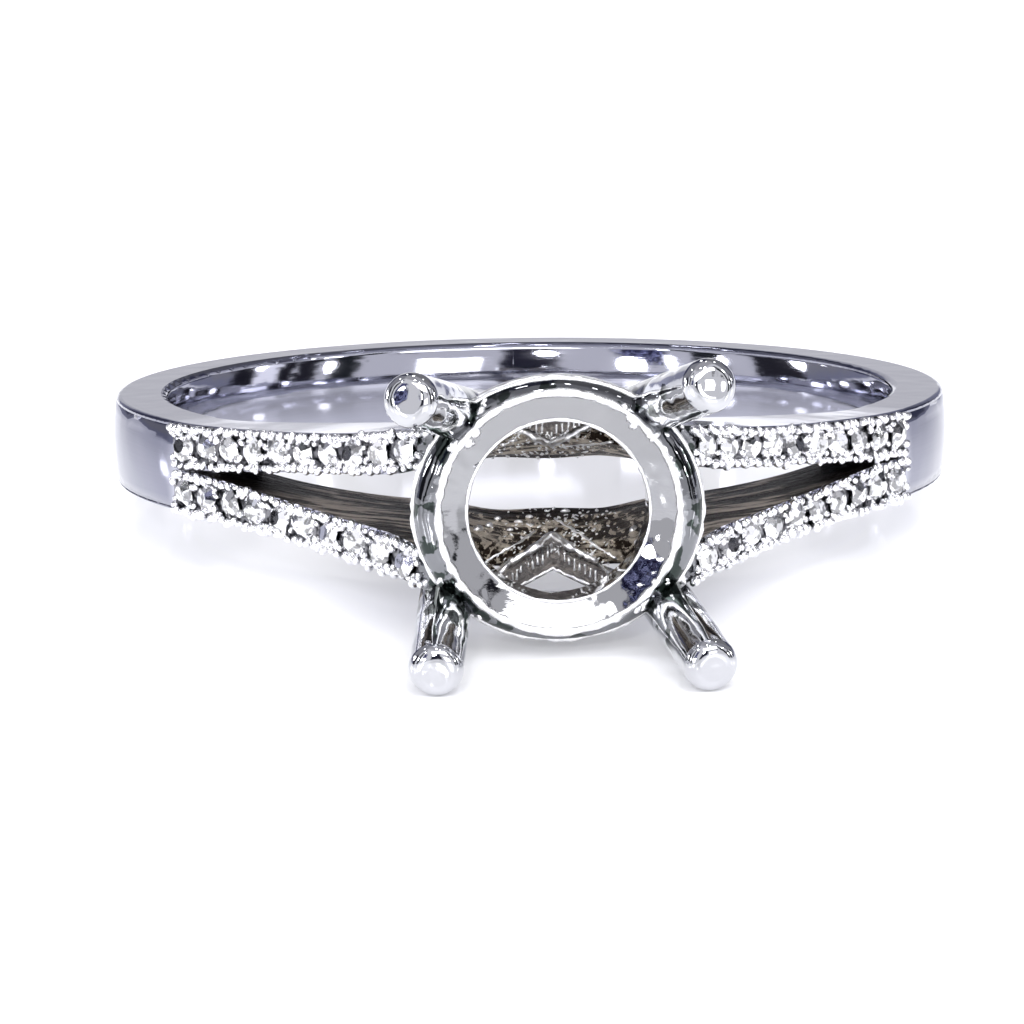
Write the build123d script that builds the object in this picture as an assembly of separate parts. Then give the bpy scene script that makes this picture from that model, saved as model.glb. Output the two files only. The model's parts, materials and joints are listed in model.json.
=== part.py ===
from build123d import *
import math
import os

# Split shank ring for one round centre stone. All sizes are in millimetres.
# The ring is built with the finger axis along Z and the head towards -Y, then tilted so that it rests on
# its two lower prongs and the back of the band, as a ring laid on its side does.

# Plain band
FINGER_RADIUS = 8.65
BAND_RADIUS = 9.95
BAND_HALF_WIDTH = 1.03
BAND_CROWN = 0.10           # how far the outside is domed, from its edges to its middle
BAND_END_ANGLE = 58.0       # degrees from the head, where the plain band passes into the shoulders
OUTER_CORNER = BAND_RADIUS - BAND_CROWN
FINGER_EDGE_ROUND = 0.16
OUTER_EDGE_ROUND = 0.12
GAP_EDGE_ROUND = 0.08
ROUGH_BORE_RADIUS = 8.25    # the sections reach in to here before the finger hole is cut
ROUGH_BORE_LENGTH = 8.0     # more than the widest part of the ring

# Shoulders. Their outline leaves the round of the band as a straight line at the tangent angle.
# One row for each section: angle from the head, half widths at the finger and at the outline, and dome.
TANGENT_ANGLE = 50.0
SHOULDER_SECTIONS = [
    {"angle": 58.0, "finger_half": BAND_HALF_WIDTH, "outer_half": BAND_HALF_WIDTH, "crown": BAND_CROWN},
    {"angle": 50.0, "finger_half": 1.07, "outer_half": 1.05, "crown": 0.07},
    {"angle": 40.0, "finger_half": 1.18, "outer_half": 1.12, "crown": 0.05},
    {"angle": 30.0, "finger_half": 1.26, "outer_half": 1.24, "crown": 0.04},
    {"angle": 22.0, "finger_half": 1.30, "outer_half": 1.41, "crown": 0.03},
    {"angle": 16.0, "finger_half": 1.32, "outer_half": 1.60, "crown": 0.02},
    {"angle": 12.0, "finger_half": 1.34, "outer_half": 1.74, "crown": 0.02},
]

# Bridge behind the head. The first row follows the end of the shoulder, at a smaller radius.
BRIDGE_SIDE_RADIUS = 11.4
BRIDGE_SECTIONS = [
    {"angle": 6.0, "radius": 10.2, "finger_half": 1.42, "outer_half": 1.62},
    {"angle": 0.0, "radius": 10.0, "finger_half": 1.50, "outer_half": 1.66},
]

# Gap between the arms: a groove that deepens from its tip until it opens into the finger hole.
# One row for each section: angle, radius and half width of its floor, radius and half width of its top.
GAP_SECTIONS = [
    {"angle": 56.0, "floor": 9.80, "floor_half": 0.010, "top": 10.4, "top_half": 0.03},
    {"angle": 51.0, "floor": 9.25, "floor_half": 0.015, "top": 10.4, "top_half": 0.07},
    {"angle": 46.0, "floor": 8.55, "floor_half": 0.030, "top": 10.4, "top_half": 0.13},
    {"angle": 40.0, "floor": 7.95, "floor_half": 0.10, "top": 10.7, "top_half": 0.24},
    {"angle": 30.0, "floor": 7.85, "floor_half": 0.22, "top": 11.3, "top_half": 0.43},
    {"angle": 22.0, "floor": 7.85, "floor_half": 0.29, "top": 12.0, "top_half": 0.59},
    {"angle": 14.0, "floor": 7.85, "floor_half": 0.33, "top": 13.2, "top_half": 0.93},
    {"angle": 7.0, "floor": 7.85, "floor_half": 0.30, "top": 12.0, "top_half": 1.62},
    {"angle": 0.0, "floor": 7.85, "floor_half": 0.06, "top": 11.0, "top_half": 1.77},
]

# Pave rows, one on each arm. A thin rail of metal stays on both sides of each row.
PAVE_ANGLES = [57.0, 51.0, 46.0, 40.0, 30.0, 22.0, 16.0, 13.8]
PAVE_RAIL = 0.07
PAVE_DEPTH = 0.34           # how far the row is sunk below the outline
PAVE_PROUD = 0.04           # how far it stands above the outline

# Head. Depths are measured from the finger axis towards the head.
SEAT_FRONT = 12.92
SEAT_BACK = 11.5
SEAT_HALF_LENGTH = 3.06     # half of the oval outline, across the finger
SEAT_HALF_WIDTH = 2.78      # half of the oval outline, along the finger
SEAT_SHOULDER = 0.5         # round on the front edge of the seat ring
SEAT_HOLE_RADIUS = 1.92
COUNTERSINK_RADIUS = 2.52
COUNTERSINK_DEPTH = 0.3
SEAT_HOLE_MIDDLE = (SEAT_BACK + SEAT_FRONT - COUNTERSINK_DEPTH) / 2

# Prongs: where each axis passes the seat ring and where it ends
PRONG_RADIUS = 0.57
PRONG_TIP_ROUND = 0.3
PRONG_FOOT = 11.2
PRONG_WAIST = 12.3
PRONG_TIP = 15.6
PRONGS = [
    {"waist_x": -2.22, "waist_z": 2.12, "tip_x": -3.20, "tip_z": 2.82},
    {"waist_x": 2.14, "waist_z": 2.20, "tip_x": 3.00, "tip_z": 3.03},
    {"waist_x": -2.42, "waist_z": -2.13, "tip_x": -2.71, "tip_z": -2.87},
    {"waist_x": 2.38, "waist_z": -2.15, "tip_x": 3.00, "tip_z": -2.87},
]

# V-shaped legs from the middle of the bridge to the prong feet, one row for each section of a leg:
# distance from the middle, depths of its back and front, and heights of its near and far edges
LEG_SECTIONS = [
    {"x": 0.0, "back": 9.2, "front": 10.15, "near": 1.20, "far": 1.70},
    {"x": 1.1, "back": 9.8, "front": 10.65, "near": 1.66, "far": 2.16},
    {"x": 2.2, "back": 10.8, "front": 11.7, "near": 1.86, "far": 2.40},
]


# How the edges to be rounded are found: how closely they lie at a radius, how long they are, and how high
EDGE_MATCH = 0.002
LONG_EDGE = 5.0
SIDE_EDGE_HEIGHT = 1.0      # edges of the side faces are above this, from the middle plane
GAP_EDGE_HEIGHT = 0.85      # edges of the gap are below this

# The search for the tilt at which the ring rests
MOST_TILT = 20.0
TILT_HALVINGS = 50


def polar(angle, radius, height):
    """A point at an angle from the head, a distance from the finger axis and a height along it."""
    turn = math.radians(angle)
    return (radius * math.sin(turn), -radius * math.cos(turn), height)


def outline_radius(angle):
    """Distance of the outline from the finger axis: round on the band, straight along the shoulders."""
    return BAND_RADIUS / math.cos(math.radians(max(0.0, TANGENT_ANGLE - angle)))


def face_through(points):
    return make_face(Polyline(*points, close=True))


def symmetric_section(angle, inner, inner_half, outer, outer_half):
    """A four-sided section in a plane through the finger axis, the same above and below the middle."""
    return face_through([
        polar(angle, inner, -inner_half), polar(angle, outer, -outer_half),
        polar(angle, outer, outer_half), polar(angle, inner, inner_half),
    ])


def domed_section(angle, inner, inner_half, outer, outer_half, crown):
    """A section like the one above, with its outer side domed out to the given radius."""
    low, high = polar(angle, outer - crown, -outer_half), polar(angle, outer - crown, outer_half)
    inner_low, inner_high = polar(angle, inner, -inner_half), polar(angle, inner, inner_half)
    return make_face([
        Line(inner_low, low), ThreePointArc(low, polar(angle, outer, 0), high),
        Line(high, inner_high), Line(inner_high, inner_low),
    ])


def both_sides(rows):
    """The rows of one side, then the same rows again for the other side, with the angle turned over."""
    middle_out = [dict(row, angle=-row["angle"]) for row in reversed(rows) if row["angle"] > 0]
    return rows + middle_out


def shoulder():
    """Both arms of the +X side as one body, from the end of the band to the side of the head."""
    return loft([
        domed_section(row["angle"], ROUGH_BORE_RADIUS, row["finger_half"],
                      outline_radius(row["angle"]), row["outer_half"], row["crown"])
        for row in SHOULDER_SECTIONS
    ])


def bridge():
    """The body behind the head that joins the two shoulders."""
    end = SHOULDER_SECTIONS[-1]
    corner_radius = outline_radius(end["angle"]) - end["crown"]
    share = (BRIDGE_SIDE_RADIUS - ROUGH_BORE_RADIUS) / (corner_radius - ROUGH_BORE_RADIUS)
    side_half = end["finger_half"] + share * (end["outer_half"] - end["finger_half"])
    side = {"angle": end["angle"], "radius": BRIDGE_SIDE_RADIUS,
            "finger_half": end["finger_half"], "outer_half": side_half}
    return loft([
        symmetric_section(row["angle"], ROUGH_BORE_RADIUS, row["finger_half"],
                          row["radius"], row["outer_half"])
        for row in both_sides([side] + BRIDGE_SECTIONS)
    ])


def gap():
    """The space between the upper and the lower arms, across both shoulders and the bridge."""
    return loft([
        symmetric_section(row["angle"], row["floor"], row["floor_half"], row["top"], row["top_half"])
        for row in both_sides(GAP_SECTIONS)
    ])


def band():
    """The plain hoop at the back, from one shoulder round to the other."""
    profile = domed_section(
        BAND_END_ANGLE, ROUGH_BORE_RADIUS, BAND_HALF_WIDTH, BAND_RADIUS, BAND_HALF_WIDTH, BAND_CROWN)
    return revolve(profile, Axis.Z, 360 - 2 * BAND_END_ANGLE)


def seat_ring():
    """The oval collar of the head, with a countersunk seat and a through hole for the stone's point."""
    face_on = Plane(origin=(0, -SEAT_BACK, 0), x_dir=(1, 0, 0), z_dir=(0, -1, 0))
    thickness = SEAT_FRONT - SEAT_BACK
    collar = extrude(face_on * Ellipse(SEAT_HALF_LENGTH, SEAT_HALF_WIDTH), thickness)
    collar = fillet(collar.edges().sort_by(Axis.Y)[0], SEAT_SHOULDER)
    hole = face_on * Pos(0, 0, thickness / 2) * Cylinder(SEAT_HOLE_RADIUS, 2 * thickness)
    sink = face_on * Pos(0, 0, thickness - COUNTERSINK_DEPTH / 2) * Cone(
        SEAT_HOLE_RADIUS, COUNTERSINK_RADIUS, COUNTERSINK_DEPTH)
    return collar, hole + sink


def prong(row):
    """One round prong, from its rounded foot behind the seat ring to its domed tip."""
    waist = Vector(row["waist_x"], -PRONG_WAIST, row["waist_z"])
    tip = Vector(row["tip_x"], -PRONG_TIP, row["tip_z"])
    along = (tip - waist).normalized()
    foot = waist - along * ((PRONG_WAIST - PRONG_FOOT) / abs(along.Y))
    wire = Cylinder(PRONG_RADIUS, (tip - foot).length, align=(Align.CENTER, Align.CENTER, Align.MIN))
    wire = fillet(wire.edges().sort_by(Axis.Z)[-1], PRONG_TIP_ROUND)
    wire += Sphere(PRONG_RADIUS)
    return Plane(origin=foot, z_dir=along) * wire


def gallery_leg():
    """Half of the upper V, from the middle of the bridge to a prong foot."""
    faces = []
    for row in LEG_SECTIONS:
        x, back, front = row["x"], -row["back"], -row["front"]
        faces.append(face_through([
            (x, back, row["near"]), (x, front, row["near"]), (x, front, row["far"]), (x, back, row["far"]),
        ]))
    return loft(faces)


def value_at(rows, angle, column):
    """A column of a table of sections at any angle, in a straight line between its rows."""
    for wide, narrow in zip(rows, rows[1:]):
        if narrow["angle"] <= angle <= wide["angle"]:
            share = (wide["angle"] - angle) / (wide["angle"] - narrow["angle"])
            return wide[column] + share * (narrow[column] - wide[column])
    return rows[0][column]


def gap_half_at_outline(angle):
    """Half width of the gap where it comes out at the outline."""
    floor, top = value_at(GAP_SECTIONS, angle, "floor"), value_at(GAP_SECTIONS, angle, "top")
    floor_half = value_at(GAP_SECTIONS, angle, "floor_half")
    share = (outline_radius(angle) - floor) / (top - floor)
    return floor_half + share * (value_at(GAP_SECTIONS, angle, "top_half") - floor_half)


def pave_row():
    """The upper row on the +X side: the stones and beads as one strip, sunk into the arm."""
    faces = []
    for angle in PAVE_ANGLES:
        near = gap_half_at_outline(angle) + PAVE_RAIL
        far = value_at(SHOULDER_SECTIONS, angle, "outer_half") - PAVE_RAIL
        low, high = outline_radius(angle) - PAVE_DEPTH, outline_radius(angle) + PAVE_PROUD
        faces.append(face_through([
            polar(angle, low, near), polar(angle, high, near), polar(angle, high, far), polar(angle, low, far),
        ]))
    return loft(faces)


def four_ways(shape):
    """The shape and its mirror images below the middle plane and on the other side of the finger."""
    pair = [shape, mirror(shape, about=Plane.XY)]
    return pair + [mirror(one, about=Plane.YZ) for one in pair]


def points_along(edge):
    return [edge @ (step / 4) for step in range(5)]


def edges_where(shape, longer_than, test):
    """The edges over a length whose points all pass a test on distance from the finger axis and height."""
    return [
        edge for edge in shape.edges()
        if edge.length > longer_than
        and all(test(math.hypot(p.X, p.Y), abs(p.Z)) for p in points_along(edge))
    ]


def at_finger(radius):
    return abs(radius - FINGER_RADIUS) < EDGE_MATCH


def shank():
    """Band, arms and bridge as one body, with the finger hole, the gap and rounded edges."""
    right = shoulder()
    body = band() + right + mirror(right, about=Plane.YZ) + bridge()
    body -= Cylinder(FINGER_RADIUS, ROUGH_BORE_LENGTH)
    body -= gap()
    body = fillet(edges_where(
        body, 0, lambda r, z: at_finger(r) and z > SIDE_EDGE_HEIGHT), FINGER_EDGE_ROUND)
    body = fillet(edges_where(
        body, LONG_EDGE, lambda r, z: r > OUTER_CORNER - EDGE_MATCH and z > SIDE_EDGE_HEIGHT),
        OUTER_EDGE_ROUND)
    return fillet(edges_where(
        body, LONG_EDGE, lambda r, z: at_finger(r) and z < GAP_EDGE_HEIGHT), GAP_EDGE_ROUND)


def lowest_of_prong(row, tilt):
    """How far a prong reaches down from the finger axis's middle when the head is lifted by the tilt."""
    along = (Vector(row["tip_x"], -PRONG_TIP, row["tip_z"])
             - Vector(row["waist_x"], -PRONG_WAIST, row["waist_z"])).normalized()
    down = Vector(0, math.sin(tilt), -math.cos(tilt))
    centre = Vector(row["tip_x"], -PRONG_TIP, row["tip_z"]) - along * PRONG_TIP_ROUND
    side = math.sqrt(1 - down.dot(along) ** 2)
    return down.dot(centre) + (PRONG_RADIUS - PRONG_TIP_ROUND) * side + PRONG_TIP_ROUND


def lowest_of_band(tilt):
    """How far the rounded lower edge of the band reaches down at the back when the head is lifted."""
    dome_slope = 2 * math.atan(BAND_CROWN / BAND_HALF_WIDTH)
    edge_centre = OUTER_CORNER - OUTER_EDGE_ROUND * math.tan(math.radians(45) - dome_slope / 2)
    reach = edge_centre * math.sin(tilt)
    return reach + (BAND_HALF_WIDTH - OUTER_EDGE_ROUND) * math.cos(tilt) + OUTER_EDGE_ROUND


def rest_tilt():
    """The tilt in degrees at which the lower prongs and the back of the band touch the surface together."""
    low, high = 0.0, math.radians(MOST_TILT)
    for _ in range(TILT_HALVINGS):
        middle = (low + high) / 2
        if max(lowest_of_prong(row, middle) for row in PRONGS) > lowest_of_band(middle):
            low = middle
        else:
            high = middle
    return math.degrees(low)


metal = shank()
for leg in four_ways(gallery_leg()):
    metal += leg
for row in PRONGS:
    metal += prong(row)
collar, stone_hole = seat_ring()
metal += collar
metal -= stone_hole

upper_right, lower_right, upper_left, lower_left = four_ways(pave_row())
pieces = {
    "pave_upper_right": upper_right,
    "pave_lower_right": lower_right,
    "pave_upper_left": upper_left,
    "pave_lower_left": lower_left,
}
for strip in pieces.values():
    metal -= strip
pieces["ring_mount"] = metal

# Lay the ring down, with the middle of its box over the origin and its lowest point on the surface
tilt = rest_tilt()
laid = {name: Rot(X=-tilt) * shape for name, shape in pieces.items()}
box = laid["ring_mount"].bounding_box()
to_origin = Pos(-box.center().X, -box.center().Y, -box.min.Z)

os.makedirs("parts", exist_ok=True)
for name, shape in laid.items():
    export_step(to_origin * shape, f"parts/{name}.step")
print("tilt", round(tilt, 4))
print("middle of the finger hole", to_origin.position)
print("middle of the hole in the seat", (to_origin * Rot(X=-tilt) * Pos(0, -SEAT_HOLE_MIDDLE, 0)).position)
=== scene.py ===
import json
import math
import random

import bmesh
import bpy
from mathutils import Matrix, Vector
from mathutils.bvhtree import BVHTree


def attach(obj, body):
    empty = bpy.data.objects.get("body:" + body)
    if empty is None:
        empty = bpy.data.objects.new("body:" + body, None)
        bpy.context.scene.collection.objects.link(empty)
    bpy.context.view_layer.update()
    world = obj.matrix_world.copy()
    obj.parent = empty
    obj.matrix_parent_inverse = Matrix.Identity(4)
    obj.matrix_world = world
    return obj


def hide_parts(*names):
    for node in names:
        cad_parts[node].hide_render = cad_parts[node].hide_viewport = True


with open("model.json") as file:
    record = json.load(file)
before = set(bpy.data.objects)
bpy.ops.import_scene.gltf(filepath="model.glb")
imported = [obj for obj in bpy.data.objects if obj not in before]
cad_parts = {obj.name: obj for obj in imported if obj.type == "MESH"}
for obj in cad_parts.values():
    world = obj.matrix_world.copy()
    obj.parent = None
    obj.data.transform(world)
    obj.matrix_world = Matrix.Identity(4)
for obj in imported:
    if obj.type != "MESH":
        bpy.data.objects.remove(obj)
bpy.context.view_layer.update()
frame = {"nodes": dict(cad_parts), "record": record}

MM = 0.001

# Camera, measured on the photograph. Distances are in millimetres and angles in degrees.
CAMERA_DISTANCE = 100.0         # from the middle of the finger hole
CAMERA_AZIMUTH = -2.75
CAMERA_HEIGHT = 13.33
CAMERA_ROLL = -0.36
CAMERA_LENS = 146.25
AIM = (-0.453, -0.444, -1.963)  # from the middle of the finger hole

# Stones of the paved arms, in millimetres
STONES_IN_ROW = 10
STONE_RADIUS = 0.375
STONE_TABLE = 0.46              # table across, as a share of the stone
STONE_CROWN_ANGLE = 35.0
STONE_PAVILION_ANGLE = 41.0
STONE_GIRDLE = 0.06             # as a share of the radius
STONE_SINK = 0.03               # girdle below the top of the arm
STONE_LEAN = 0.2                # most lean either way, in radians
BEAD_RADIUS = 0.105
BEADS_TO_A_STONE = 4            # along each edge of a row
CUP_CORNERS = 24
CUP_INTO_RAIL = 0.06            # the drilled metal runs this far into the rails beside it
CUP_LOOPS = (                   # reach from the stone's middle, where None is all of the metal, and drop
    (None, 0.06),
    (STONE_RADIUS * 0.93, 0.06),
    (STONE_RADIUS * 0.35, 0.32),
)
TINY = 1e-6                     # keeps a division away from zero

# Head, in millimetres. Depths are measured from the finger axis towards the head.
HEAD_FRONT = 12.92
HEAD_BACK = 11.5
HEAD_HALF_LENGTH = 3.06         # across the finger
HEAD_HALF_WIDTH = 2.78          # along the finger
SEAT_RADIUS = 2.52
HOLE_RADIUS = 1.92
PRONG_RADIUS = 0.57
PRONG_WAISTS = ((-2.22, 2.12), (2.14, 2.20), (-2.42, -2.13), (2.38, -2.15))     # across and along
JOINT = PRONG_WAISTS[1]         # stands for all four where the metal is coloured
ROD_SIDES = 7
RIM_POINTS = 110
SEAT_RIM, HOLE_RIM, COLLAR_RIM, BACK_RIM = 0.115, 0.05, 0.1, 0.06       # most radius of each raised rim
COLLAR_RIM_BACK = 0.55          # how far the collar's rims lie behind the front of the head
BACK_RIM_BACK = 0.95
SOLDER_BEADS = 26               # round each prong

# Gallery behind the head, in millimetres
GALLERY_BACK = 8.5              # nothing behind the head lies deeper than this
GALLERY_FRONT = HEAD_BACK - 0.05
LEG_EDGE = ((0.0, 1.20), (1.1, 1.66), (2.2, 1.86))      # inner edge of the gallery legs: across, along
LEG_WIDTH = 0.5
LEG_LINE = 1.0                  # raised line along the top of each V: height at its point, and slope
LEG_SLOPE = 0.57
GALLERY_LINES = (               # other raised lines behind the head: corners across and along
    ((-0.40, 1.30), (-0.28, 1.12), (0.10, 0.95), (0.22, 1.15)),
    ((0.30, 0.92), (0.80, 0.98), (1.40, 1.12)),
    ((-0.60, -0.41), (-0.05, -0.46), (0.50, -0.52), (1.10, -0.61)),
    ((0.10, -0.74), (0.75, -1.06), (1.45, -1.50)),
    ((-0.35, -0.95), (-1.10, -1.26), (-1.60, -1.50)),
)
GALLERY_LUMPS = (               # bright lumps behind the head: across, along, half length, half width
    (-1.60, -0.83, 0.15, 0.07), (-1.35, -0.80, 0.11, 0.06), (-1.15, -0.72, 0.09, 0.05),
    (1.76, -0.85, 0.07, 0.11), (1.80, -1.08, 0.06, 0.10), (1.84, -0.46, 0.09, 0.05),
    (1.30, -1.84, 0.11, 0.06), (-1.08, -1.93, 0.12, 0.05), (-1.25, 1.02, 0.10, 0.06),
    (-1.05, 1.08, 0.09, 0.06), (-0.85, 1.16, 0.12, 0.05), (0.02, 1.20, 0.09, 0.08),
    (-0.70, -0.78, 0.10, 0.04), (-0.45, -0.70, 0.09, 0.04), (-0.90, -0.90, 0.08, 0.04),
    (0.35, -0.62, 0.12, 0.04),
)
LINE_RADII = (0.015, 0.045)     # least and most radius of each kind of ridge
TOP_RADII = (0.06, 0.115)
BORDER_RADII = (0.02, 0.045)
RIB_RADII = (0.014, 0.036)
RIDGE_STEP = 0.07               # between the points of a ridge
RIB_STEP = 0.05
RIDGE_SWAY = 0.018
RIBS_EACH_WAY = 12
RIB_PITCH = 0.115
GRAINS_TO_A_V = 260

# Where one finish of the metal passes into another, and where its painted shade and light change: start and
# end of the change, in millimetres
HEAD_START = (11.0, 11.6)       # depth
ARMS_END = (11.38, 11.42)       # depth
HEAD_SIDE = (2.86, 2.9)         # across
HEAD_SIDE_FRONT = (12.28, 12.3)     # depth
GALLERY_SIDE = (2.5, 2.6)       # across
GALLERY_START = (8.9, 9.0)      # depth
ABOVE_HOLE = (8.68, 8.72)       # from the finger axis
INSIDE_END = (8.66, 8.72)       # from the finger axis
SEAT_END = (2.58, 2.66)         # from the middle of the head
JOINT_REACH = (1.4, 0.8)        # from the middle of a prong
SHAFT_START = (12.95, 13.1)     # depth
STAIN_END = (14.2, 14.8)        # depth
TIP_START = (13.4, 14.8)        # depth
BUFFED_FROM = 0.70              # along the finger
# The same, as angles from the head in radians
# where painted shade darkens the tip of the gap
GAP_TIP_SHADE = (0.52, 0.72)
# where the painted shade of the plain band sets in
PLAIN_BAND = (0.98, 1.04)

# How the paved strips are measured, in millimetres and radians
ROW_SAMPLES = 160
ROW_END_MATCH = 0.004
ROW_PROBE_DEPTH = 0.1
OUTSIDE_RING = 20.0

# Frame of the ring: X across the finger, Y away from the head, Z along the finger, from the hole's middle
mounts = {mount["name"]: mount for mount in frame["record"]["mounts"]}
HOLE_MIDDLE = Vector(mounts["finger_hole"]["pos_m"])
FINGER_AXIS = Vector(mounts["finger_hole"]["axis"])
RING_TURN = Vector((0, 0, 1)).rotation_difference(FINGER_AXIS).to_matrix()


def laid(point):
    """A point of the ring's own frame, in millimetres, as it lies on the surface, in metres."""
    return RING_TURN @ (Vector(point) * MM) + HOLE_MIDDLE


def upright(point):
    """The way back: from metres on the surface to the ring's own frame in millimetres."""
    return (RING_TURN.transposed() @ (Vector(point) - HOLE_MIDDLE)) / MM


# Shader expressions

class Graph:
    """The nodes of one material or of the room around the ring."""

    def __init__(self, tree):
        self.tree = tree
        self.tree.nodes.clear()

    def node(self, kind, settings=None, **sockets):
        """A node of any type: settings first, then the values or links of its sockets."""
        made = self.tree.nodes.new(kind)
        for key, value in (settings or {}).items():
            setattr(made, key, value)
        for key, value in sockets.items():
            self.feed(made.inputs[key.replace("_", " ")], value)
        return made

    def feed(self, socket, value):
        value = value.socket if isinstance(value, Field) else value
        if isinstance(value, bpy.types.NodeSocket):
            self.tree.links.new(value, socket)
        else:
            socket.default_value = value

    def value(self, kind, output, settings=None, **sockets):
        return Field(self, self.node(kind, settings, **sockets).outputs[output])

    def mix_colour(self, share, first, second):
        made = self.node("ShaderNodeMix", {"data_type": "RGBA"})
        for index, value in ((0, share), (6, first), (7, second)):
            self.feed(made.inputs[index], value)
        return made.outputs[2]

    def vector(self, operation, *values):
        made = self.node("ShaderNodeVectorMath", {"operation": operation})
        for socket, value in zip(made.inputs, values):
            self.feed(socket, value)
        return made

    def ramp(self, value, low, high):
        """0 below low and 1 above high, smooth between them; low may be the larger."""
        made = self.node("ShaderNodeMapRange", {"interpolation_type": "SMOOTHSTEP"})
        for name, number in (("Value", value), ("From Min", low), ("From Max", high)):
            self.feed(made.inputs[name], number)
        return Field(self, made.outputs[0])


class Field:
    """A number that varies over a surface."""

    def __init__(self, graph, socket):
        self.graph = graph
        self.socket = socket

    def maths(self, operation, *values):
        made = self.graph.node("ShaderNodeMath", {"operation": operation})
        for socket, value in zip(made.inputs, values):
            self.graph.feed(socket, value)
        return Field(self.graph, made.outputs[0])

    def __add__(self, other):
        return self.maths("ADD", self, other)

    __radd__ = __add__

    def __sub__(self, other):
        return self.maths("SUBTRACT", self, other)

    def __rsub__(self, other):
        return self.maths("SUBTRACT", other, self)

    def __mul__(self, other):
        return self.maths("MULTIPLY", self, other)

    __rmul__ = __mul__

    def size(self):
        return self.maths("ABSOLUTE", self)

    def sign(self):
        return self.maths("SIGN", self)

    def root(self):
        return self.maths("SQRT", self)

    def larger(self, other):
        return self.maths("MAXIMUM", self, other)


def material(name):
    made = bpy.data.materials.new(name)
    made.use_nodes = True
    return made, Graph(made.node_tree)


def finish_material(graph, shader):
    out = graph.node("ShaderNodeOutputMaterial")
    graph.feed(out.inputs["Surface"], shader.outputs[0])


def ring_position(graph):
    """Place on the ring in its own frame, in millimetres: across, away from the head, along the finger."""
    place = graph.node("ShaderNodeTexCoord").outputs["Object"]
    from_middle = graph.vector("SUBTRACT", place, tuple(HOLE_MIDDLE)).outputs[0]
    axes = [RING_TURN.col[index] / MM for index in range(3)]
    return [Field(graph, graph.vector("DOT_PRODUCT", from_middle, tuple(axis)).outputs["Value"])
            for axis in axes]


def facing_along_finger(graph):
    normal = graph.node("ShaderNodeTexCoord").outputs["Normal"]
    return Field(graph, graph.vector("DOT_PRODUCT", normal, tuple(FINGER_AXIS)).outputs["Value"])


def noise(graph, place, scale, detail=3.0, roughness=0.5):
    return graph.value("ShaderNodeTexNoise", "Fac", Vector=place, Scale=scale, Detail=detail,
                       Roughness=roughness)


class MetalPlace:
    """Where a point of the metal lies in the ring's own frame, in millimetres, and which part it is on."""

    def __init__(self, graph):
        self.across, away, self.along = ring_position(graph)
        self.depth = away * -1
        self.radius = (self.across * self.across + away * away).root()
        self.angle = self.across.maths("ARCTAN2", self.across, self.depth)
        # Places for noise: along the band as if unrolled, and with the depth of the head squeezed
        self.unrolled = graph.node("ShaderNodeCombineXYZ", X=self.angle * 10, Y=self.radius,
                                   Z=self.along).outputs[0]
        self.squeezed = graph.node("ShaderNodeCombineXYZ", X=self.across, Y=self.depth * 0.45,
                                   Z=self.along).outputs[0]
        facing = facing_along_finger(graph)
        self.facing_away = facing * self.along.sign()
        self.on_head = graph.ramp(self.depth, *HEAD_START)
        self.behind_head = ((1 - graph.ramp(self.across.size(), *GALLERY_SIDE))
                            * graph.ramp(self.depth, *GALLERY_START))
        self.wall = 1 - graph.ramp(facing.size(), 0.25, 0.5)
        self.inside = (1 - graph.ramp(self.radius, *INSIDE_END)) * self.wall


def cast_areas(graph, at):
    """Where the casting was never polished: walls that face the gap, and all that lies behind the head."""
    faces_gap = graph.ramp(at.facing_away, -0.15, -0.35)
    side_face = graph.ramp(at.facing_away, 0.45, 0.6)
    short_of_head = 1 - graph.ramp(at.depth, *ARMS_END)
    beside_head = graph.ramp(at.across.size(), *HEAD_SIDE) * (1 - graph.ramp(at.depth, *HEAD_SIDE_FRONT))
    above_hole = graph.ramp(at.radius, *ABOVE_HOLE)
    unpolished = faces_gap.larger(at.behind_head * (1 - side_face))
    return above_hole * short_of_head.larger(beside_head) * unpolished


def skin_height(graph, at, streaks, grain):
    """Height of the casting's skin: streaks along the arms, grains, and lumps behind the head."""
    lumps = noise(graph, at.squeezed, 3.2, 3.0)
    return streaks * 0.30 + grain * 0.07 + lumps * 0.22 * at.behind_head


def polish_height(graph, at, hairlines):
    """Height of the polished metal: rounded by the buff towards the edges of the band, with faint waves."""
    past_edge = (at.along.size() - BUFFED_FROM).larger(0)
    buffed = (at.along * at.along * (-0.09 - at.inside * 0.06)
              - past_edge * past_edge * (1.1 - at.inside)) * at.wall * (1 - at.on_head)
    wave = noise(graph, at.unrolled, 0.9, 1.0)
    ripple = noise(graph, at.squeezed, 1.7, 1.0)
    return wave * 0.012 + ripple * 0.055 * at.on_head + hairlines * 0.0012 + buffed


def skin_colour_and_gap_shade(graph, at, streaks):
    """Brown of the casting's skin, near black at the tip of the gap as painted shade, and greyer on the
    gallery legs.
    """
    # painted shade: the light streaks fade out towards the tip of the gap
    light_streaks_outside_gap_shade = graph.ramp(streaks, 0.48, 0.60) * (1 - graph.ramp(at.angle.size(), *GAP_TIP_SHADE))
    patches = graph.ramp(noise(graph, at.squeezed, 5.5, 5.0, 0.65), 0.53, 0.57) * at.behind_head
    dark_skin = graph.mix_colour(at.behind_head, (0.016, 0.012, 0.010, 1), (0.035, 0.025, 0.018, 1))
    light_skin = graph.mix_colour(at.behind_head, (0.46, 0.40, 0.35, 1), (0.60, 0.53, 0.44, 1))
    brown = graph.mix_colour(light_streaks_outside_gap_shade.larger(patches), dark_skin, light_skin)
    above_line = at.along.size() - at.across.size() * LEG_SLOPE
    leg_face = at.behind_head * graph.ramp(above_line, LEG_LINE, LEG_LINE + 0.05)
    return graph.mix_colour(leg_face * 0.8, brown, (0.25, 0.235, 0.23, 1))


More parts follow.
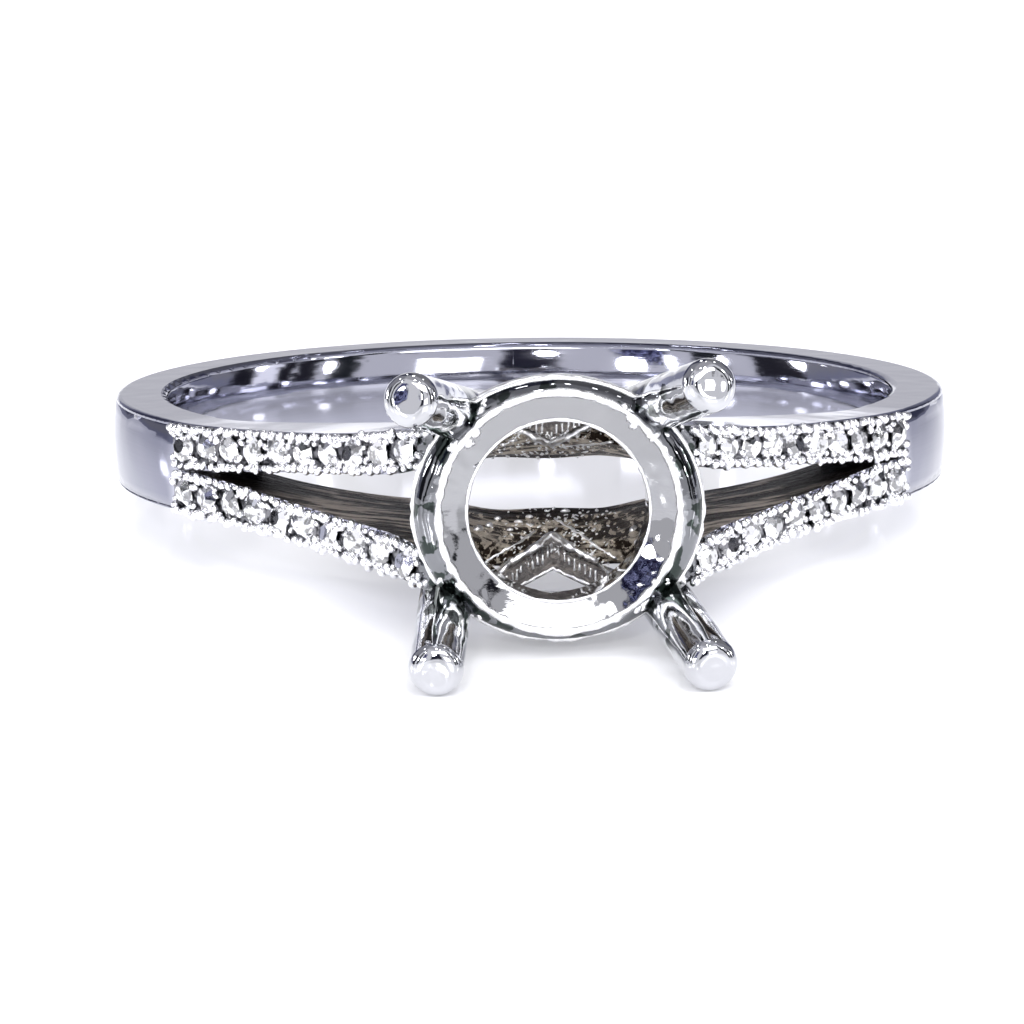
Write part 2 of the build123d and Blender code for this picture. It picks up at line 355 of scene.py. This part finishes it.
def head_stains_and_painted_light(graph, at):
    """Grey seat, brighter prongs, and stains from soldering on the collar and the shafts of the prongs. The
    grey of the seat and the dark of the collar are painted shade.
    """
    from_middle = (at.across * at.across + at.along * at.along).root()
    collar_and_shafts = (at.on_head * graph.ramp(from_middle, *SEAT_END)
                * (1 - graph.ramp(at.depth, *STAIN_END)))
    beside_joint = at.across.size() - JOINT[0]
    above_joint = at.along.size() - JOINT[1]
    near_joint = graph.ramp((beside_joint * beside_joint + above_joint * above_joint).root(), *JOINT_REACH)
    shaft = graph.ramp(at.depth, *SHAFT_START)
    clouds = noise(graph, at.squeezed, 2.2, 3.0) + near_joint * (0.08 - shaft * 0.06)
    stain = collar_and_shafts * graph.ramp(clouds, 0.57, 0.60)
    tip = graph.ramp(at.depth, *TIP_START)
    # painted shade on the seat, lighter towards the tips of the prongs
    seat_shade_to_tip = graph.mix_colour(tip, (0.36, 0.362, 0.375, 1), (0.56, 0.565, 0.59, 1))
    # painted shade: dark on the collar, and bright on the shafts of the prongs
    collar_shade_to_shaft = graph.mix_colour(shaft, (0.22, 0.225, 0.24, 1), (0.86, 0.87, 0.89, 1))
    head = graph.mix_colour(collar_and_shafts, seat_shade_to_tip, collar_shade_to_shaft)
    return graph.mix_colour(stain, head, (0.045, 0.055, 0.052, 1))


def band_colour_and_shade(graph, at):
    """Bluish grey, darkened and blued as painted shade: darker on the plain band than on the arms."""
    # painted shade: the plain band and its walls are darker and bluer than the arms
    plain = graph.mix_colour(at.wall, (0.23, 0.235, 0.30, 1), (0.24, 0.245, 0.31, 1))
    return graph.mix_colour(graph.ramp(at.angle.size(), *PLAIN_BAND), (0.50, 0.505, 0.58, 1), plain)


def white_metal():
    """Rhodium-bright polished metal, greyed in places by painted shade, with the rough skin of the casting
    left inside the gap.
    """
    made, graph = material("white_metal")
    at = MetalPlace(graph)
    cast = cast_areas(graph, at)
    hairlines = noise(graph, graph.vector("MULTIPLY", at.unrolled, (0.4, 14, 14)).outputs[0], 1.0, 4.0)
    drawn_out = graph.vector("MULTIPLY", at.unrolled, (0.4, 3.6, 3.6)).outputs[0]
    streaks = noise(graph, drawn_out, 1.0, 6.0, 0.64)
    grain = noise(graph, at.unrolled, 8.0, 4.0, 0.6)
    height = (skin_height(graph, at, streaks, grain) * cast
              + polish_height(graph, at, hairlines) * (1 - cast))
    bump = graph.node("ShaderNodeBump", Strength=1.0, Distance=MM, Height=height)
    outer = graph.mix_colour(at.on_head, band_colour_and_shade(graph, at), head_stains_and_painted_light(graph, at))
    # painted shade: the inside of the band is a darker, bluer grey
    polished = graph.mix_colour(at.inside, outer, (0.42, 0.425, 0.495, 1))
    colour = graph.mix_colour(cast, polished, skin_colour_and_gap_shade(graph, at, streaks))
    polished_roughness = 0.04 + hairlines * 0.05 - at.on_head * 0.035
    roughness = polished_roughness * (1 - cast) + (0.3 + grain * 0.25) * cast
    shader = graph.node("ShaderNodeBsdfPrincipled", Base_Color=colour, Metallic=1.0,
                        Roughness=roughness, Normal=bump.outputs[0])
    finish_material(graph, shader)
    return made


def small_metal(name, dark, light, roughness):
    """Metal of the small pieces: dented, and uneven in colour between a dark and a light one."""
    made, graph = material(name)
    place = graph.node("ShaderNodeTexCoord").outputs["Object"]
    dents = noise(graph, place, 7000.0, 2.0)
    bump = graph.node("ShaderNodeBump", Strength=0.6, Distance=0.02 * MM, Height=dents)
    colour = graph.mix_colour(graph.ramp(dents, 0.4, 0.6), dark, light)
    shader = graph.node("ShaderNodeBsdfPrincipled", Base_Color=colour, Metallic=1.0,
                        Roughness=roughness + dents * 0.1, Normal=bump.outputs[0])
    finish_material(graph, shader)
    return made


def stone_finish():
    """Facets that flash white in some places and let the painted shade of the drilled seat through in
    others.
    """
    made, graph = material("round_stone")
    place = graph.node("ShaderNodeTexCoord").outputs["Object"]
    clear = graph.node("ShaderNodeBsdfPrincipled", Base_Color=(0.30, 0.31, 0.34, 1), Roughness=0.0,
                       IOR=2.4, Transmission_Weight=1.0)
    flash = graph.node("ShaderNodeBsdfPrincipled", Base_Color=(0.97, 0.97, 0.99, 1), Metallic=1.0,
                       Roughness=0.12)
    share = graph.ramp(noise(graph, place, 4800.0, 2.0, 0.6), 0.44, 0.53) * 0.84 + 0.14
    mixed = graph.node("ShaderNodeMixShader")
    for socket, value in zip(mixed.inputs, (share, clear.outputs[0], flash.outputs[0])):
        graph.feed(socket, value)
    finish_material(graph, mixed)
    return made


# Meshes

def piece_from(name, build, finish, smooth):
    """A piece of the ring whose bmesh is made by build, in the ring's own frame."""
    mesh = bmesh.new()
    build(mesh)
    for vertex in mesh.verts:
        vertex.co = laid(vertex.co)
    bmesh.ops.recalc_face_normals(mesh, faces=mesh.faces)
    data = bpy.data.meshes.new(name)
    mesh.to_mesh(data)
    mesh.free()
    for face in data.polygons:
        face.use_smooth = smooth
    data.materials.append(finish)
    made = bpy.data.objects.new(name, data)
    bpy.context.scene.collection.objects.link(made)
    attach(made, "root")
    return made


class Row:
    """One paved row, measured on the strip that stands for it, with places along its top from the head."""

    def __init__(self, node):
        strip = frame["nodes"][node].data
        corners = [upright(vertex.co) for vertex in strip.vertices]
        tree = BVHTree.FromPolygons(corners, [tuple(face.vertices) for face in strip.polygons])
        turns = [math.atan2(corner.x, -corner.y) for corner in corners]
        ends = min(turns), max(turns)
        end_heights = []
        for end in ends:
            heights = [corner.z for corner, turn in zip(corners, turns) if abs(turn - end) < ROW_END_MATCH]
            end_heights.append(sum(heights) / len(heights))
        self.points = []
        for step in range(ROW_SAMPLES + 1):
            share = ROW_END_MATCH + (1 - 2 * ROW_END_MATCH) * step / ROW_SAMPLES
            turn = ends[0] + (ends[1] - ends[0]) * share
            outward = Vector((math.sin(turn), -math.cos(turn), 0))
            height = Vector((0, 0, end_heights[0] + (end_heights[1] - end_heights[0]) * share))
            top = tree.ray_cast(outward * OUTSIDE_RING + height, -outward)[0]
            inside = top - outward * ROW_PROBE_DEPTH
            upper = tree.ray_cast(inside, Vector((0, 0, 1)))[0].z
            lower = tree.ray_cast(inside, Vector((0, 0, -1)))[0].z
            self.points.append((Vector((top.x, top.y, (upper + lower) / 2)), (upper - lower) / 2))
        if self.points[0][0].y > self.points[-1][0].y:
            self.points.reverse()
        self.lengths = [0.0]
        for (before, _), (after, _) in zip(self.points, self.points[1:]):
            self.lengths.append(self.lengths[-1] + (after - before).length)

    @property
    def length(self):
        return self.lengths[-1]

    def place(self, distance):
        """Centre, half width, and the along, side and outward directions at a distance along the row."""
        index = 0
        while index < len(self.lengths) - 2 and self.lengths[index + 1] < distance:
            index += 1
        (before, narrow), (after, wide) = self.points[index], self.points[index + 1]
        share = (distance - self.lengths[index]) / (self.lengths[index + 1] - self.lengths[index])
        centre = before.lerp(after, share)
        forward = (after - before).normalized()
        outward = Vector((0, 0, 1)).cross(Vector((forward.x, forward.y, 0))).normalized()
        if outward.dot(Vector((centre.x, centre.y, 0))) < 0:
            outward.negate()
        return centre, narrow + share * (wide - narrow), forward, outward.cross(forward), outward


def round_stone(mesh, centre, along, side, outward, radius, spin):
    """A small round stone in single cut: a table, eight crown facets and eight pavilion facets."""
    def ring_of(reach, height):
        corners = []
        for eighth in range(8):
            turn = spin + eighth * math.pi / 4
            flat = along * math.cos(turn) + side * math.sin(turn)
            corners.append(mesh.verts.new(centre + (flat * reach + outward * height) * radius))
        return corners

    crown = (1 - STONE_TABLE) * math.tan(math.radians(STONE_CROWN_ANGLE))
    pavilion = math.tan(math.radians(STONE_PAVILION_ANGLE))
    loops = [ring_of(STONE_TABLE, crown), ring_of(1, 0), ring_of(1, -STONE_GIRDLE)]
    culet = mesh.verts.new(centre - outward * (STONE_GIRDLE + pavilion) * radius)
    mesh.faces.new(loops[0])
    for index in range(8):
        after = (index + 1) % 8
        for upper, lower in zip(loops, loops[1:]):
            mesh.faces.new((upper[index], upper[after], lower[after], lower[index]))
        mesh.faces.new((loops[-1][index], loops[-1][after], culet))


def stone_places(row):
    pitch = row.length / STONES_IN_ROW
    return [row.place(pitch * (index + 0.5)) for index in range(STONES_IN_ROW)]


def row_stones(row, chance):
    def build(mesh):
        for centre, _, along, side, outward in stone_places(row):
            lean = (Matrix.Rotation(chance.uniform(-STONE_LEAN, STONE_LEAN), 3, along)
                    @ Matrix.Rotation(chance.uniform(-STONE_LEAN, STONE_LEAN), 3, side))
            round_stone(mesh, centre - outward * STONE_SINK * chance.uniform(0.2, 1.6), lean @ along,
                        lean @ side, lean @ outward, STONE_RADIUS * chance.uniform(0.96, 1.02),
                        chance.uniform(0, math.pi / 4))
    return build


def dome(mesh, centre, along, side, outward, radius, stretch, fineness=2):
    """A bead of metal: a ball, longer along by the stretch and as much narrower sideways."""
    ball = bmesh.ops.create_icosphere(mesh, subdivisions=fineness, radius=1.0)
    turn = Matrix((along, side, outward)).transposed()
    for vertex in ball["verts"]:
        x, y, z = vertex.co
        vertex.co = centre + turn @ Vector((x * radius * stretch, y * radius / stretch, z * radius))


def row_beads(row, chance):
    """Beads along both edges of a row, and smaller ones in the corners between the stones."""
    def bead(mesh, distance, across, radius):
        end = row.length - chance.uniform(0.04, 0.24)
        centre, half, along, side, outward = row.place(min(distance, end))
        lift = outward * chance.uniform(-0.01, 0.07)
        turn = Matrix.Rotation(chance.uniform(0, math.pi), 3, outward)
        dome(mesh, centre + side * across * half + lift, turn @ along, turn @ side, outward, radius,
             chance.uniform(1.0, 1.35))

    def build(mesh):
        pitch = row.length / STONES_IN_ROW
        count = STONES_IN_ROW * BEADS_TO_A_STONE
        for edge in (-1, 1):
            for index in range(-1, count + 1):
                distance = pitch * (index + chance.uniform(-0.22, 0.22)) / BEADS_TO_A_STONE
                bead(mesh, distance, edge * chance.uniform(0.86, 1.06),
                     BEAD_RADIUS * chance.uniform(0.75, 1.2))
            for index in range(STONES_IN_ROW + 1):
                for twin in (-1, 1):
                    distance = pitch * index + twin * chance.uniform(0.02, 0.12)
                    bead(mesh, distance, edge * chance.uniform(0.3, 0.72),
                         BEAD_RADIUS * chance.uniform(0.6, 0.95))
    return build


def row_bed(row):
    """The drilled metal between the stones: a cup under each one, and the web around it."""
    def build(mesh):
        half_pitch = row.length / STONES_IN_ROW / 2
        for centre, half, along, side, outward in stone_places(row):
            loops = []
            for reach, drop in CUP_LOOPS:
                loop = []
                for index in range(CUP_CORNERS):
                    turn = 2 * math.pi * index / CUP_CORNERS
                    x, y = math.cos(turn), math.sin(turn)
                    to_wall = min(half_pitch / max(abs(x), TINY),
                                  (half + CUP_INTO_RAIL) / max(abs(y), TINY))
                    length = to_wall if reach is None else min(reach, to_wall)
                    flat = (along * x + side * y) * length
                    loop.append(mesh.verts.new(centre + flat - outward * drop))
                loops.append(loop)
            for outer, inner in zip(loops, loops[1:]):
                for index in range(CUP_CORNERS):
                    after = (index + 1) % CUP_CORNERS
                    mesh.faces.new((outer[index], outer[after], inner[after], inner[index]))
            mesh.faces.new(loops[-1])
    return build


def rod(mesh, points, radii, closed=False):
    """A thin round rod through points, with its own radius at each."""
    loops = []
    count = len(points)
    for index, (point, radius) in enumerate(zip(points, radii)):
        before = points[index - 1] if closed or index else point
        after = points[(index + 1) % count] if closed or index < count - 1 else point
        forward = (after - before).normalized()
        flat = forward.orthogonal() if abs(forward.y) > 0.9 else forward.cross(Vector((0, 1, 0)))
        flat.normalize()
        up = forward.cross(flat)
        loops.append([
            mesh.verts.new(point + (flat * math.cos(turn) + up * math.sin(turn)) * radius)
            for turn in (2 * math.pi * corner / ROD_SIDES for corner in range(ROD_SIDES))
        ])
    for first, second in zip(loops, loops[1:] + loops[:1] if closed else loops[1:]):
        for corner in range(ROD_SIDES):
            after = (corner + 1) % ROD_SIDES
            mesh.faces.new((first[corner], first[after], second[after], second[corner]))
    if not closed:
        mesh.faces.new(loops[0])
        mesh.faces.new(loops[-1])


class Casting:
    """The metal of the ring, to be touched from the front."""

    def __init__(self):
        metal_mesh = frame["nodes"]["ring_mount"].data
        corners = [upright(vertex.co) for vertex in metal_mesh.vertices]
        faces = [tuple(face.vertices) for face in metal_mesh.polygons]
        self.tree = BVHTree.FromPolygons(corners, faces)

    def front(self, across, along, depth=OUTSIDE_RING):
        """The first point met by going in from a depth, or None, and the surface's direction there."""
        point, normal, _, _ = self.tree.ray_cast(Vector((across, -depth, along)), Vector((0, 1, 0)))
        return point, normal

    def gallery(self, across, along):
        """The same behind the head, with None where there is no metal."""
        point, normal = self.front(across, along, GALLERY_FRONT)
        if point and -point.y > GALLERY_BACK:
            return point, normal
        return None, None


def leg_line(across):
    """Height of the raised line along the top of each V at a distance from the middle."""
    return LEG_LINE + LEG_SLOPE * abs(across)


def leg_edge(across):
    """Height of the inner edge of the gallery legs at a distance from the middle."""
    for (near, low), (far, high) in zip(LEG_EDGE, LEG_EDGE[1:]):
        if abs(across) <= far:
            return low + (high - low) * (abs(across) - near) / (far - near)
    return LEG_EDGE[-1][1]


def gallery_ridges(casting, chance):
    """Left by the casting behind the head: uneven ridges, ribs across the legs of each V, and grains."""
    def draw(mesh, corners, radii, step=RIDGE_STEP):
        """A ridge along a line of corners, each across and along, laid on the metal behind the head."""
        points = []
        for first, second in zip(corners, corners[1:]):
            first, second = Vector(first), Vector(second)
            count = max(2, round((second - first).length / step))
            for index in range(count):
                across, along = first.lerp(second, index / count)
                point, _ = casting.gallery(across, along + chance.uniform(-RIDGE_SWAY, RIDGE_SWAY))
                if point:
                    points.append(point)
        if len(points) > 2:
            rod(mesh, points, [chance.uniform(*radii) for _ in points])

    def lumps(mesh):
        for across, along, long, wide in GALLERY_LUMPS:
            point, normal = casting.gallery(across, along)
            if point:
                flat = normal.cross(Vector((0, 0, 1))).normalized()
                dome(mesh, point, flat, normal.cross(flat), normal, math.sqrt(long * wide),
                     math.sqrt(long / wide))

    def ribs(mesh, side):
        for step in range(-RIBS_EACH_WAY, RIBS_EACH_WAY + 1):
            across = step * RIB_PITCH + chance.uniform(-0.02, 0.02)
            edge = leg_line(across) + chance.uniform(0.13, 0.18)
            foot = edge + chance.uniform(0.16, 0.34)
            draw(mesh, [(across, side * edge), (across + chance.uniform(-0.03, 0.03), side * foot)],
                 RIB_RADII, RIB_STEP)

    def grains(mesh, side):
        for _ in range(GRAINS_TO_A_V):
            across = chance.gauss(0, 1) * 0.75 - side * 0.25
            height = chance.uniform(0.5, 1.75)
            point, normal = casting.gallery(across, side * height)
            if point and height < leg_edge(across) + 0.05:
                along = normal.orthogonal().normalized()
                dome(mesh, point, along, normal.cross(along), normal, chance.uniform(0.012, 0.05),
                     chance.uniform(0.5, 1.9), 1)

    def build(mesh):
        for corners in GALLERY_LINES:
            draw(mesh, corners, LINE_RADII)
        lumps(mesh)
        reach = [step / 4 for step in range(-6, 7)]
        for side in (-1, 1):
            draw(mesh, [(across, side * leg_line(across)) for across in reach], TOP_RADII)
            draw(mesh, [(across, side * (leg_edge(across) + LEG_WIDTH - 0.04)) for across in reach],
                 BORDER_RADII)
            ribs(mesh, side)
            grains(mesh, side)
    return build


def head_rims(casting, chance):
    """Raised edges round the seat, its hole and the collar, and the solder round the prongs."""
    just_in_front = HEAD_FRONT + 0.1

    def rims(mesh):
        seat_rim, hole_rim, collar_rim, back_rim = [], [], [], []
        for step in range(RIM_POINTS):
            turn = 2 * math.pi * step / RIM_POINTS
            x, z = math.cos(turn), math.sin(turn)
            reach = SEAT_RADIUS + 0.02 + chance.uniform(-0.01, 0.01)
            point, _ = casting.front(x * reach, z * reach, just_in_front)
            seat_rim.append(point or Vector((x * reach, -HEAD_FRONT, z * reach)))
            reach = HOLE_RADIUS + 0.02
            point, _ = casting.front(x * reach, z * reach, just_in_front)
            hole_rim.append(point)
            for rim, back in ((collar_rim, COLLAR_RIM_BACK), (back_rim, BACK_RIM_BACK)):
                rim.append(Vector((x * (HEAD_HALF_LENGTH - 0.01),
                                   -(HEAD_FRONT - back) - chance.uniform(-0.02, 0.02),
                                   z * (HEAD_HALF_WIDTH - 0.01))))
        for rim, thick in ((seat_rim, SEAT_RIM), (hole_rim, HOLE_RIM), (collar_rim, COLLAR_RIM),
                           (back_rim, BACK_RIM)):
            rod(mesh, rim, [thick * chance.uniform(0.5, 1.0) for _ in rim], closed=True)

    def solder(mesh, across, along):
        for _ in range(SOLDER_BEADS):
            turn = chance.uniform(0, 2 * math.pi)
            reach = PRONG_RADIUS * chance.uniform(1.04, 1.3)
            point, normal = casting.front(across + math.cos(turn) * reach, along + math.sin(turn) * reach)
            if point and HEAD_BACK < -point.y < just_in_front:
                flat = normal.orthogonal().normalized()
                dome(mesh, point - normal * 0.03, flat, normal.cross(flat), normal,
                     chance.uniform(0.05, 0.12), chance.uniform(0.7, 1.4))

    def build(mesh):
        rims(mesh)
        for across, along in PRONG_WAISTS:
            solder(mesh, across, along)
    return build


metal = white_metal()
beads = small_metal("bead_metal", (0.66, 0.66, 0.69, 1), (0.99, 0.99, 1.0, 1), 0.18)
# painted shade: the drilled seats under the stones are near black
drilled = small_metal("drilled_shade_metal", (0.02, 0.02, 0.025, 1), (0.24, 0.24, 0.26, 1), 0.3)
raised = small_metal("raised_metal", (0.86, 0.86, 0.88, 1), (1.0, 1.0, 1.0, 1), 0.28)
stones = stone_finish()
for node in frame["nodes"].values():
    node.data.materials.clear()
    node.data.materials.append(metal)

PAVED_ARMS = ("upper_left", "upper_right", "lower_left", "lower_right")
for seed, arm in enumerate(PAVED_ARMS):
    chance = random.Random(seed)
    strip = "pave_" + arm
    row = Row(strip)
    set_stones = piece_from("stones_" + arm, row_stones(row, chance), stones, False)
    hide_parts(strip)
    piece_from("beads_" + arm, row_beads(row, chance), beads, True)
    # the seats carry the painted shade of the drilled metal
    piece_from("seats_" + arm, row_bed(row), drilled, False)

casting = Casting()
chance = random.Random(11)
piece_from("gallery_ridges", gallery_ridges(casting, chance), raised, True)
piece_from("head_rims", head_rims(casting, chance), raised, True)


# Surface, room and lights

FLOOR_SIZE = 1.2
# How far from the ring's middle the floor's painted shade and glow change, in metres: inside the hoop and
# to its sides
HOOP_EDGE = (6 * MM, 10 * MM)
SIDE_EDGE = (2.5 * MM, 6 * MM)
# The room's walls darken between these heights, and its things have edges this uneven, in degrees
WALL_FADE = (6, 28)
UNEVEN_EDGE = 16

# The room as the ring sees it. One row for each thing, later ones in front: azimuth from the camera's
# side, height, half width and half height in degrees, how soft its edge is, and its colour.
ROOM = (
    {"azimuth": 0, "height": 90, "wide": 360, "high": 27, "soft": 5, "colour": (0.52, 0.52, 0.56)},
    {"azimuth": 125, "height": 34, "wide": 26, "high": 26, "soft": 8, "colour": (0.34, 0.34, 0.38)},
    {"azimuth": -125, "height": 34, "wide": 26, "high": 26, "soft": 8, "colour": (0.34, 0.34, 0.38)},
    {"azimuth": 0, "height": 28, "wide": 82, "high": 34, "soft": 14, "colour": (0.95, 0.95, 1.0)},
    {"azimuth": 180, "height": 9, "wide": 10, "high": 11, "soft": 6, "colour": (0.74, 0.74, 0.79)},
    {"azimuth": 148, "height": 42, "wide": 24, "high": 16, "soft": 8, "colour": (0.26, 0.26, 0.28)},
    {"azimuth": -147, "height": 15, "wide": 7, "high": 8, "soft": 4, "colour": (0.09, 0.095, 0.155)},
    {"azimuth": 141, "height": 15, "wide": 7, "high": 8, "soft": 4, "colour": (0.09, 0.095, 0.155)},
    {"azimuth": -3, "height": 21, "wide": 7, "high": 13, "soft": 5, "colour": (0.03, 0.03, 0.05)},
    {"azimuth": -43, "height": 26, "wide": 7, "high": 11, "soft": 4, "colour": (0.01, 0.01, 0.04),
     "speckled": True},
    {"azimuth": 43, "height": 31, "wide": 2, "high": 3, "soft": 3, "colour": (0.02, 0.02, 0.03)},
    {"azimuth": -68, "height": 28, "wide": 4, "high": 30, "soft": 3, "colour": (0.02, 0.025, 0.03)},
    {"azimuth": 63, "height": 26, "wide": 4, "high": 30, "soft": 3, "colour": (0.02, 0.025, 0.03)},
    {"azimuth": 78, "height": 12, "wide": 3, "high": 12, "soft": 3, "colour": (0.02, 0.02, 0.03)},
    {"azimuth": 87, "height": 12, "wide": 3, "high": 14, "soft": 3, "colour": (0.02, 0.02, 0.03)},
    {"azimuth": 107, "height": 10, "wide": 4, "high": 14, "soft": 3, "colour": (0.02, 0.02, 0.03)},
    {"azimuth": 95, "height": 14, "wide": 3, "high": 10, "soft": 3, "colour": (1.6, 1.6, 1.7)},
    {"azimuth": -95, "height": 12, "wide": 8, "high": 14, "soft": 4, "colour": (0.03, 0.03, 0.04)},
)
# Round lamps on the ceiling: azimuth, height and brightness
CEILING_LAMPS = (
    (-62, 47, 44), (24, 68, 44), (78, 38, 24), (-112, 52, 20), (128, 58, 14), (-168, 47, 20),
    (172, 66, 20), (-14, 76, 44),
)
CEILING_LAMP_SIZE = 0.04
# Low lamps, mirrored in the inside of the band: azimuth, height, width and height across
LOW_LAMPS = (
    (70, 14, 0.045, 0.09), (-38, 13, 0.09, 0.15), (-53, 15, 0.03, 0.14), (100, 15, 0.045, 0.09),
    (-106, 13, 0.06, 0.12), (-121, 13, 0.03, 0.07), (-73, 16, 0.05, 0.09),
)
LOW_LAMP_BRIGHTNESS = 15
LAMP_DISTANCE = 0.6


def table_top():
    """White table, a little greyer within the hoop as painted shade. It glows faintly as painted light,
    least within the hoop and most to the ring's sides, lifting the ring's shadow there.
    """
    bpy.ops.mesh.primitive_plane_add(size=FLOOR_SIZE)
    plane = bpy.context.object
    plane.name = "floor"
    made, graph = material("white_table_with_painted_shade")
    place = graph.node("ShaderNodeTexCoord").outputs["Object"]
    haze = noise(graph, place, 40.0, 2.0)
    from_ring = graph.vector("DISTANCE", place, (HOLE_MIDDLE.x, HOLE_MIDDLE.y, 0)).outputs["Value"]
    sideways = graph.value("ShaderNodeSeparateXYZ", "X", Vector=place)
    outside_hoop = graph.ramp(from_ring, *HOOP_EDGE)
    # painted light: the glow lifts the ring's shadow to its sides, and is weakest within the hoop
    glow = 0.06 + outside_hoop * 0.10 + graph.ramp(sideways.size(), *SIDE_EDGE) * 0.24
    # painted shade: the table is greyer within the hoop
    pale_with_hoop_shade = graph.mix_colour(outside_hoop, (0.66, 0.66, 0.67, 1), (0.93, 0.93, 0.94, 1))
    light = graph.mix_colour(glow, (0, 0, 0, 1), (0.96, 0.97, 1.0, 1))
    shader = graph.node("ShaderNodeBsdfPrincipled", Base_Color=pale_with_hoop_shade, Roughness=0.1 + haze * 0.05,
                        Specular_IOR_Level=0.25, Emission_Color=light, Emission_Strength=1.0)
    finish_material(graph, shader)
    plane.data.materials.append(made)


def towards(azimuth, height):
    """Direction at an azimuth from the camera's side and a height, both in degrees."""
    turn, lift = math.radians(azimuth), math.radians(height)
    return Vector((math.sin(turn) * math.cos(lift), -math.cos(turn) * math.cos(lift), math.sin(lift)))


def lamp(name, azimuth, height, distance, wide, high, brightness, shape="ELLIPSE"):
    """A soft lamp of a given brightness, at an azimuth and a height in degrees and a distance in metres."""
    data = bpy.data.lights.new(name, "AREA")
    data.shape = shape
    data.size = wide
    data.size_y = high
    data.energy = brightness * math.pi * wide * high
    made = bpy.data.objects.new(name, data)
    bpy.context.scene.collection.objects.link(made)
    direction = towards(azimuth, height)
    made.location = direction * distance
    made.rotation_mode = "QUATERNION"
    made.rotation_quaternion = (-direction).to_track_quat("-Z", "Y")


def lights():
    for number, (azimuth, height, brightness) in enumerate(CEILING_LAMPS):
        lamp(f"ceiling_lamp_{number}", azimuth, height, LAMP_DISTANCE, CEILING_LAMP_SIZE,
             CEILING_LAMP_SIZE, brightness)
    for number, (azimuth, height, wide, high) in enumerate(LOW_LAMPS):
        lamp(f"low_lamp_{number}", azimuth, height, LAMP_DISTANCE, wide, high, LOW_LAMP_BRIGHTNESS)
    lamp("front_lamp", -9, 26, distance=0.3, wide=0.03, high=0.03, brightness=57)
    lamp("top_panel", 14, 48, distance=0.5, wide=0.48, high=0.19, brightness=4.0, shape="RECTANGLE")
    lamp("low_panel", 25, 13, distance=0.5, wide=0.20, high=0.13, brightness=4.0, shape="RECTANGLE")


def room():
    """The walls, ceiling and things around the ring, as one background."""
    world = bpy.data.worlds.new("room")
    bpy.context.scene.world = world
    world.use_nodes = True
    graph = Graph(world.node_tree)
    direction = graph.node("ShaderNodeTexCoord").outputs["Generated"]
    parts = graph.node("ShaderNodeSeparateXYZ", Vector=direction)
    sideways, back, up = (Field(graph, parts.outputs[axis]) for axis in "XYZ")
    degrees = 180 / math.pi
    azimuth = sideways.maths("ARCTAN2", sideways, back * -1) * degrees
    height = up.maths("ARCSINE", up) * degrees
    uneven = noise(graph, direction, 16.0, 5.0, 0.7) * UNEVEN_EDGE - UNEVEN_EDGE / 2
    fade = graph.ramp(height, *WALL_FADE)
    colour = graph.mix_colour(fade, (0.30, 0.31, 0.42, 1), (0.07, 0.075, 0.115, 1))
    for thing in ROOM:
        turned = (azimuth - thing["azimuth"]).size()
        turned = turned.maths("MINIMUM", turned, 360 - turned) + uneven
        lifted = (height - thing["height"]).size() + uneven
        share = (graph.ramp(turned, thing["wide"] + thing["soft"], thing["wide"])
                 * graph.ramp(lifted, thing["high"] + thing["soft"], thing["high"]))
        surface = thing["colour"] + (1,)
        if "speckled" in thing:
            speckle = graph.ramp(noise(graph, direction, 45.0, 3.0, 0.7), 0.56, 0.59)
            surface = graph.mix_colour(speckle, surface, (0.8, 0.85, 1.5, 1))
        colour = graph.mix_colour(share, colour, surface)
    background = graph.node("ShaderNodeBackground", Color=colour, Strength=1.0)
    out = graph.node("ShaderNodeOutputWorld")
    graph.feed(out.inputs["Surface"], background.outputs[0])


def camera():
    data = bpy.data.cameras.new("camera")
    data.lens = CAMERA_LENS
    data.clip_start = 0.001
    data.clip_end = 10
    made = bpy.data.objects.new("camera", data)
    bpy.context.scene.collection.objects.link(made)
    made.location = HOLE_MIDDLE + towards(CAMERA_AZIMUTH, CAMERA_HEIGHT) * CAMERA_DISTANCE * MM
    target = HOLE_MIDDLE + Vector(AIM) * MM
    level = (target - made.location).to_track_quat("-Z", "Y").to_matrix()
    made.rotation_euler = (level @ Matrix.Rotation(math.radians(CAMERA_ROLL), 3, "Z")).to_euler()
    bpy.context.scene.camera = made


table_top()
room()
lights()
camera()
bpy.context.scene.view_settings.view_transform = "Standard"
